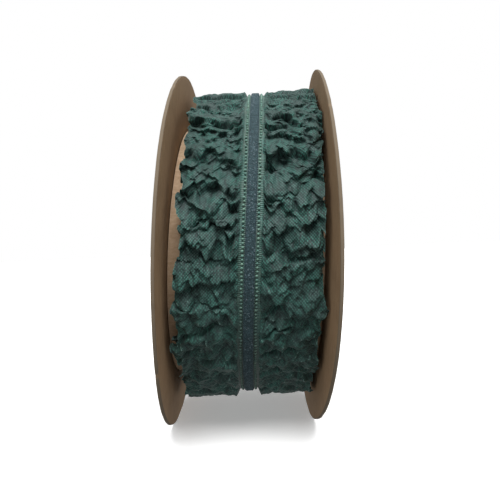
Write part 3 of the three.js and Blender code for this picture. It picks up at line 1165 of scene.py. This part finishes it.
class RIBBONROLL_OT_satin(bpy.types.Operator):
    """Add both halves of the gathered, crushed satin, and the turn that shows below them"""

    bl_idname = "ribbon_roll.satin"
    bl_label = "Gathered satin"

    def execute(self, context):
        satin = context.scene.ribbon_satin
        guide = FoldGuide(FOLD_SEED)
        turns = (
            ("satin", TOP_TURN, satin.radius, satin.flat, "centre_tape"),
            ("satin_below", TURN_BELOW, satin.under_radius, satin.flat_below, "core_tube"),
        )
        for name, turn, radius, flat, support in turns:
            look = satin_look(name, satin, turn["painted_shade"])
            seed = satin.seed + turn["seed_step"]
            points, cloth, creased = crumpled_satin(guide, turn["rows"], turn["columns"], seed)
            points[..., 2] = np.clip(points[..., 2], *turn["heights"])
            for k, half in enumerate(wind(points, radius / MM)):
                piece_name = f"{name}_{SIDES[k]}"
                mesh = wound_mesh(piece_name, half, k == 1, False, cloth[k], creased[k])
                piece = add_piece(piece_name, mesh, look, "crushed_satin", "ruffle_roll")
        return {"FINISHED"}


def tape_path(across, radius, turn):
    """Lays a straight band on the winding."""
    drift = TAPE_DRIFT * np.sin(3 * turn)
    return TAPE_CENTRE + across + drift, radius + WINDING_LIFT * np.sin(turn), turn


class RIBBONROLL_OT_tape(bpy.types.Operator):
    """Add the ribbed tape that is sewn over the satin's gathers"""

    bl_idname = "ribbon_roll.tape"
    bl_label = "Ribbed tape"

    def execute(self, context):
        tape = context.scene.ribbon_tape
        half = tape.width / MM / 2
        bottom = TAPE_RADIUS - TAPE_THICKNESS
        top = [(half * share, TAPE_RADIUS - 0.12 * share**6) for share in np.linspace(1, -1, 13)]
        outline = [(half, bottom), *top, (-half, bottom)]
        sway = SoftNoise(150, 3, 81)
        ripple = SoftNoise(110, 5, 82)

        def move(across, radius, turn):
            share = turn / FULL_TURN
            out = np.abs(across) / half
            side = (across > 0).astype(int)
            edge = 0.13 * sway.at(share, out, side) * out**2
            lift = 0.16 * ripple.at(share, across / half / 2 + 0.5, 0) * out**2
            return tape_path(across + np.sign(across) * edge, radius + lift, turn)

        mesh = wound_band("ribbed_tape", outline, TAPE_STEPS, move)
        add_piece("ribbed_tape", mesh, tape_look(tape), "ribbed_tape", "centre_tape")
        return {"FINISHED"}


class RIBBONROLL_OT_velvet(bpy.types.Operator):
    """Add the raised velvet stripe with its uneven pile"""

    bl_idname = "ribbon_roll.velvet"
    bl_label = "Velvet stripe"

    def execute(self, context):
        tape = context.scene.ribbon_tape
        half = tape.velvet_width / MM / 2
        bottom = TAPE_RADIUS + 0.02
        angles = np.linspace(0, math.pi, 19)
        height = VELVET_RADIUS - bottom
        top = [
            (half * math.cos(a), bottom + height * min(1, 1.25 * math.sin(a) ** 0.7)) for a in angles
        ]
        outline = [(half, bottom), *top[1:-1], (-half, bottom)]
        pick = np.random.default_rng(91)

        def move(across, radius, turn):
            pile = 0.05 * pick.normal(size=across.shape) * (radius > bottom + 0.1)
            return tape_path(across * (1 + 0.3 * pile), radius + pile - 0.05, turn)

        mesh = wound_band("velvet_band", outline, VELVET_STEPS, move)
        add_piece("velvet_band", mesh, velvet_look(tape), "velvet", "velvet_stripe")
        return {"FINISHED"}


class RIBBONROLL_OT_beads(bpy.types.Operator):
    """Add the picot beads along both sides of the velvet"""

    bl_idname = "ribbon_roll.beads"
    bl_label = "Picot beads"

    def execute(self, context):
        tape = context.scene.ribbon_tape
        radius = TAPE_RADIUS + BEAD_RISE
        count = round(FULL_TURN * radius / (tape.bead_pitch / MM))
        shape = bmesh.new()
        for side in SIDES:
            self.add_row(shape, OUTWARDS[side] * BEAD_CENTRE, radius, count)
        pick = np.random.default_rng(17)
        nudge = pick.normal(size=(3, 2, count)) * np.array(BEAD_NUDGES)[:, None, None]
        size = 1 + 0.1 * pick.normal(size=(2, count))

        def move(across, spot_radius, turn):
            side = (across > 0).astype(int)
            bead = np.rint(turn / FULL_TURN * count).astype(int) % count
            middle_turn = bead / count * FULL_TURN
            middle = np.where(across > 0, BEAD_CENTRE, -BEAD_CENTRE)
            off_turn = (turn - middle_turn + math.pi) % FULL_TURN - math.pi
            grown = size[side, bead]
            across = middle + (across - middle) * grown + nudge[0, side, bead]
            turn = middle_turn + off_turn * grown + nudge[1, side, bead] / radius
            return tape_path(across, spot_radius + nudge[2, side, bead], turn)

        mesh = finish_turned(shape, "picot_beads", move, 180)
        add_piece("picot_beads", mesh, bead_look(tape), "ribbed_tape")
        return {"FINISHED"}

    @staticmethod
    def add_row(shape, across, radius, count):
        """One bead, and copies of it all the way round."""
        size = Matrix.Diagonal((*BEAD_HALF_SIZES, 1))
        slant = Matrix.Rotation(math.copysign(BEAD_SLANT, across), 4, "Z")
        bead = bmesh.ops.create_uvsphere(
            shape,
            u_segments=8,
            v_segments=5,
            radius=1.0,
            matrix=Matrix.Translation((across, -radius, 0)) @ slant @ size,
        )["verts"]
        faces = list({face for vert in bead for face in vert.link_faces})
        spin(shape, faces, FULL_TURN * (count - 1) / count, count - 1, True)


class RIBBONROLL_OT_stage(bpy.types.Operator):
    """Add the pale floor, the soft light from above the front and the camera"""

    bl_idname = "ribbon_roll.stage"
    bl_label = "Stage"

    def execute(self, context):
        settings = context.scene.ribbon_stage
        self.floor(settings)
        self.key_light(settings)
        context.scene.world = self.room(settings)
        context.scene.view_settings.view_transform = "Standard"
        middle = Vector((AXIS_MIDDLE * MM, 0, AXIS_HEIGHT * MM))
        self.camera(context.scene, middle)
        return {"FINISHED"}

    @staticmethod
    def floor(settings):
        """A wide floor that throws no light back up at the spool."""
        shape = bmesh.new()
        bmesh.ops.create_grid(shape, x_segments=1, y_segments=1, size=FLOOR_HALF_METRES)
        mesh = bpy.data.meshes.new("floor")
        shape.to_mesh(mesh)
        shape.free()
        mesh.materials.append(stage_look(settings.floor))
        piece = bpy.data.objects.new("floor", mesh)
        piece.visible_diffuse = False
        piece.visible_glossy = False
        bpy.context.scene.collection.objects.link(piece)

    @staticmethod
    def key_light(settings):
        light = bpy.data.lights.new("key_light", "SUN")
        light.energy = settings.key_power
        light.angle = settings.key_softness
        lamp = bpy.data.objects.new("key_light", light)
        towards = Vector(settings.key_from)
        lamp.rotation_euler = towards.to_track_quat("Z", "Y").to_euler()
        bpy.context.scene.collection.objects.link(lamp)

    @staticmethod
    def room(settings):
        """White behind the spool, and a dimmer room that is darker below."""
        look = Look("room", bpy.data.worlds.new("room"))
        height = look.split(look.node("ShaderNodeTexCoord"))[2]
        reach = {1: ROOM_DIM, 2: ROOM_BRIGHT, 3: settings.low_light, 4: settings.high_light}
        strength = look.node("ShaderNodeMapRange", {}, {0: height, **reach})
        dim = look.node("ShaderNodeBackground", {}, {"Strength": strength})
        white = look.node("ShaderNodeBackground", {}, {"Color": opaque((1, 1, 1))})
        seen = look.node("ShaderNodeLightPath")
        room = look.node("ShaderNodeMixShader", {}, {0: seen, 1: dim, 2: white})
        look.node("ShaderNodeOutputWorld", {}, {"Surface": room})
        return look.owner

    @staticmethod
    def camera(scene, middle):
        lens = bpy.data.cameras.new("camera")
        lens.sensor_width = SENSOR_WIDTH
        lens.lens = SENSOR_WIDTH * FOCAL_LENGTH_PIXELS / IMAGE_WIDTH_PIXELS
        lens.clip_start = NEAREST_SEEN_METRES
        viewer = bpy.data.objects.new("camera", lens)
        yaw = Matrix.Rotation(CAMERA_YAW, 3, "Z")
        pitch = Matrix.Rotation(-CAMERA_PITCH, 3, "X")
        roll = Matrix.Rotation(CAMERA_ROLL, 3, "Y").transposed()
        turned = (roll @ pitch @ yaw).transposed()
        right, forward, up = (turned @ axis for axis in Matrix.Identity(3))
        facing = Matrix((right, up, -forward)).transposed().to_4x4()
        facing.translation = middle + Vector(CAMERA_FROM_AXIS) * MM
        viewer.matrix_world = facing
        scene.collection.objects.link(viewer)
        scene.camera = viewer


class RIBBONROLL_PT_panel(bpy.types.Panel):
    """Sizes, colours and pieces of the ribbon roll."""

    bl_idname = "RIBBONROLL_PT_panel"
    bl_label = "Ribbon Roll"
    bl_space_type = "VIEW_3D"
    bl_region_type = "UI"
    bl_category = "Ribbon Roll"

    def draw(self, context):
        for name in SETTINGS:
            group = getattr(context.scene, name)
            box = self.layout.box()
            for value in group.__annotations__:
                box.prop(group, value)
        for operator in OPERATORS:
            self.layout.operator(operator.bl_idname)


SETTINGS = {
    "ribbon_card": CardSettings,
    "ribbon_satin": SatinSettings,
    "ribbon_tape": TapeSettings,
    "ribbon_stage": StageSettings,
}
OPERATORS = (
    RIBBONROLL_OT_discs,
    RIBBONROLL_OT_core,
    RIBBONROLL_OT_satin,
    RIBBONROLL_OT_tape,
    RIBBONROLL_OT_velvet,
    RIBBONROLL_OT_beads,
    RIBBONROLL_OT_stage,
)
CLASSES = (*SETTINGS.values(), *OPERATORS, RIBBONROLL_PT_panel)


def register():
    for each in CLASSES:
        bpy.utils.register_class(each)
    for name, group in SETTINGS.items():
        setattr(bpy.types.Scene, name, PointerProperty(type=group))


def unregister():
    for name in SETTINGS:
        delattr(bpy.types.Scene, name)
    for each in reversed(CLASSES):
        bpy.utils.unregister_class(each)


def main():
    register()
    bpy.ops.ribbon_roll.discs()
    bpy.ops.ribbon_roll.core()
    bpy.ops.ribbon_roll.satin()
    bpy.ops.ribbon_roll.tape()
    bpy.ops.ribbon_roll.velvet()
    bpy.ops.ribbon_roll.beads()
    bpy.ops.ribbon_roll.stage()


if __name__ == "__main__":
    main()
